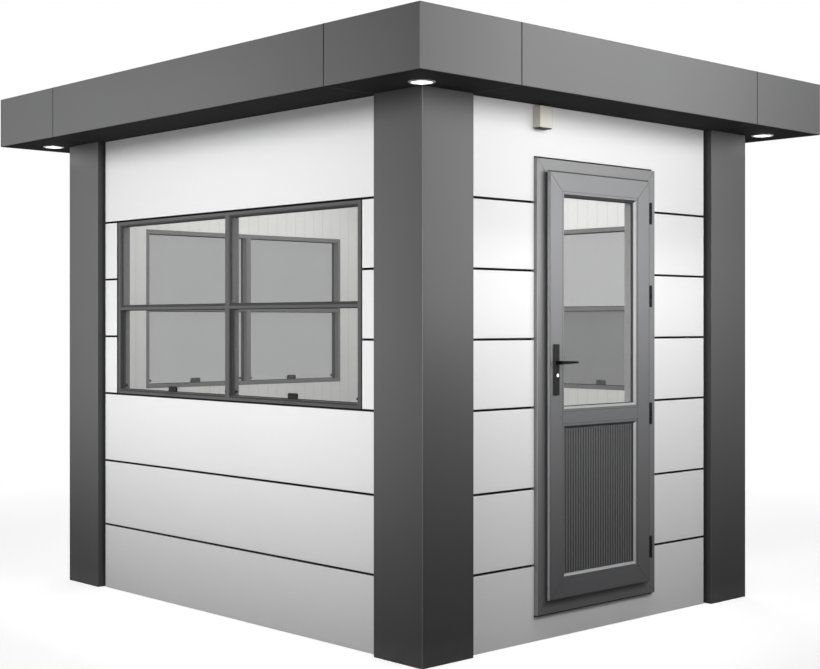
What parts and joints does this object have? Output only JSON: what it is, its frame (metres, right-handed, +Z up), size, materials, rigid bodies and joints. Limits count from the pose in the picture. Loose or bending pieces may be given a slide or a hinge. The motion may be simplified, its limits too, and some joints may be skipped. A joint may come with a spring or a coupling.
{
  "type": "security guard booth",
  "caption": "Small flat-roofed guard booth with wide corner columns, board walls, sliding-pane windows on three sides and a half-glazed door that opens outwards.",
  "frame": {"origin": "middle of the booth's outline, on the ground", "axes": "+X to the right along the door wall as seen from outside, +Y from the door wall to the back, +Z up"},
  "size_m": [2.863, 3.376, 2.656],
  "materials": {
    "anthracite_sheet": "satin powder coat",
    "white_board": "smooth satin",
    "inner_board": "smooth matt",
    "frame_steel": "matt primer",
    "floor_board": "studded vinyl on board",
    "roof_sheet": "matt coated sheet",
    "window_aluminium": "fine textured powder coat",
    "clear_glass": "clear with a faint grey tint",
    "door_aluminium": "satin powder coat",
    "door_panel": "satin, upright ribs",
    "black_hardware": "matt black",
    "lock_steel": "brushed",
    "lamp_ring": "satin",
    "lamp_lens": "opal diffuser",
    "housing_plastic": "moulded"
  },
  "bodies": {
    "booth": {"base_frame": "frame_steel", "floor_deck": "floor_board", "corner_posts": "frame_steel", "ceiling": "inner_board", "roof_deck": "roof_sheet", "corner_column_front_left": "anthracite_sheet", "corner_column_front_right": "anthracite_sheet", "corner_column_back_left": "anthracite_sheet", "corner_column_back_right": "anthracite_sheet", "roof_corner_front_left": "anthracite_sheet", "roof_corner_front_right": "anthracite_sheet", "roof_corner_back_left": "anthracite_sheet", "roof_corner_back_right": "anthracite_sheet", "roof_fascia_front": "anthracite_sheet", "roof_fascia_left": "anthracite_sheet", "roof_fascia_back": "anthracite_sheet", "roof_fascia_right": "anthracite_sheet", "left_wall": "inner_board", "left_wall_boards": "white_board", "left_window_frame": "window_aluminium", "left_window_glass": "clear_glass", "back_wall": "inner_board", "back_wall_boards": "white_board", "back_window_frame": "window_aluminium", "back_window_glass": "clear_glass", "right_wall": "inner_board", "right_wall_boards": "white_board", "right_window_frame": "window_aluminium", "right_window_glass": "clear_glass", "front_wall_left": "inner_board", "front_wall_right": "inner_board", "front_wall_over_door": "inner_board", "front_boards_left": "white_board", "front_boards_right": "white_board", "front_board_over_door": "white_board", "front_board_under_door": "white_board", "window_latches": "black_hardware", "door_frame": "door_aluminium", "door_hinges_frame_side": "black_hardware", "downlight_rings": "lamp_ring", "downlight_lenses": "lamp_lens", "sensor_housing": "housing_plastic"},
    "door": {"door_leaf": "door_aluminium", "door_glass": "clear_glass", "door_glazing_beads": "door_aluminium", "door_lower_panel": "door_panel", "door_backplates": "black_hardware", "door_lock_cylinder": "lock_steel", "door_hinges_leaf_side": "black_hardware"},
    "lever": {"door_lever": "black_hardware"}
  },
  "joints": [
    {"name": "door_hinge", "type": "hinge", "parent": "booth", "child": "door", "pos_m": [0.3515, -1.422, 1.1405], "axis": [0, 0, 1], "range_deg": [0, 105]},
    {"name": "lever_turn", "type": "hinge", "parent": "door", "child": "lever", "pos_m": [-0.346, -1.395, 1.243], "axis": [0, 1, 0], "range_deg": [0, 38], "stiffness_Nm_per_rad": 1, "springref_deg": -20.05}
  ]
}
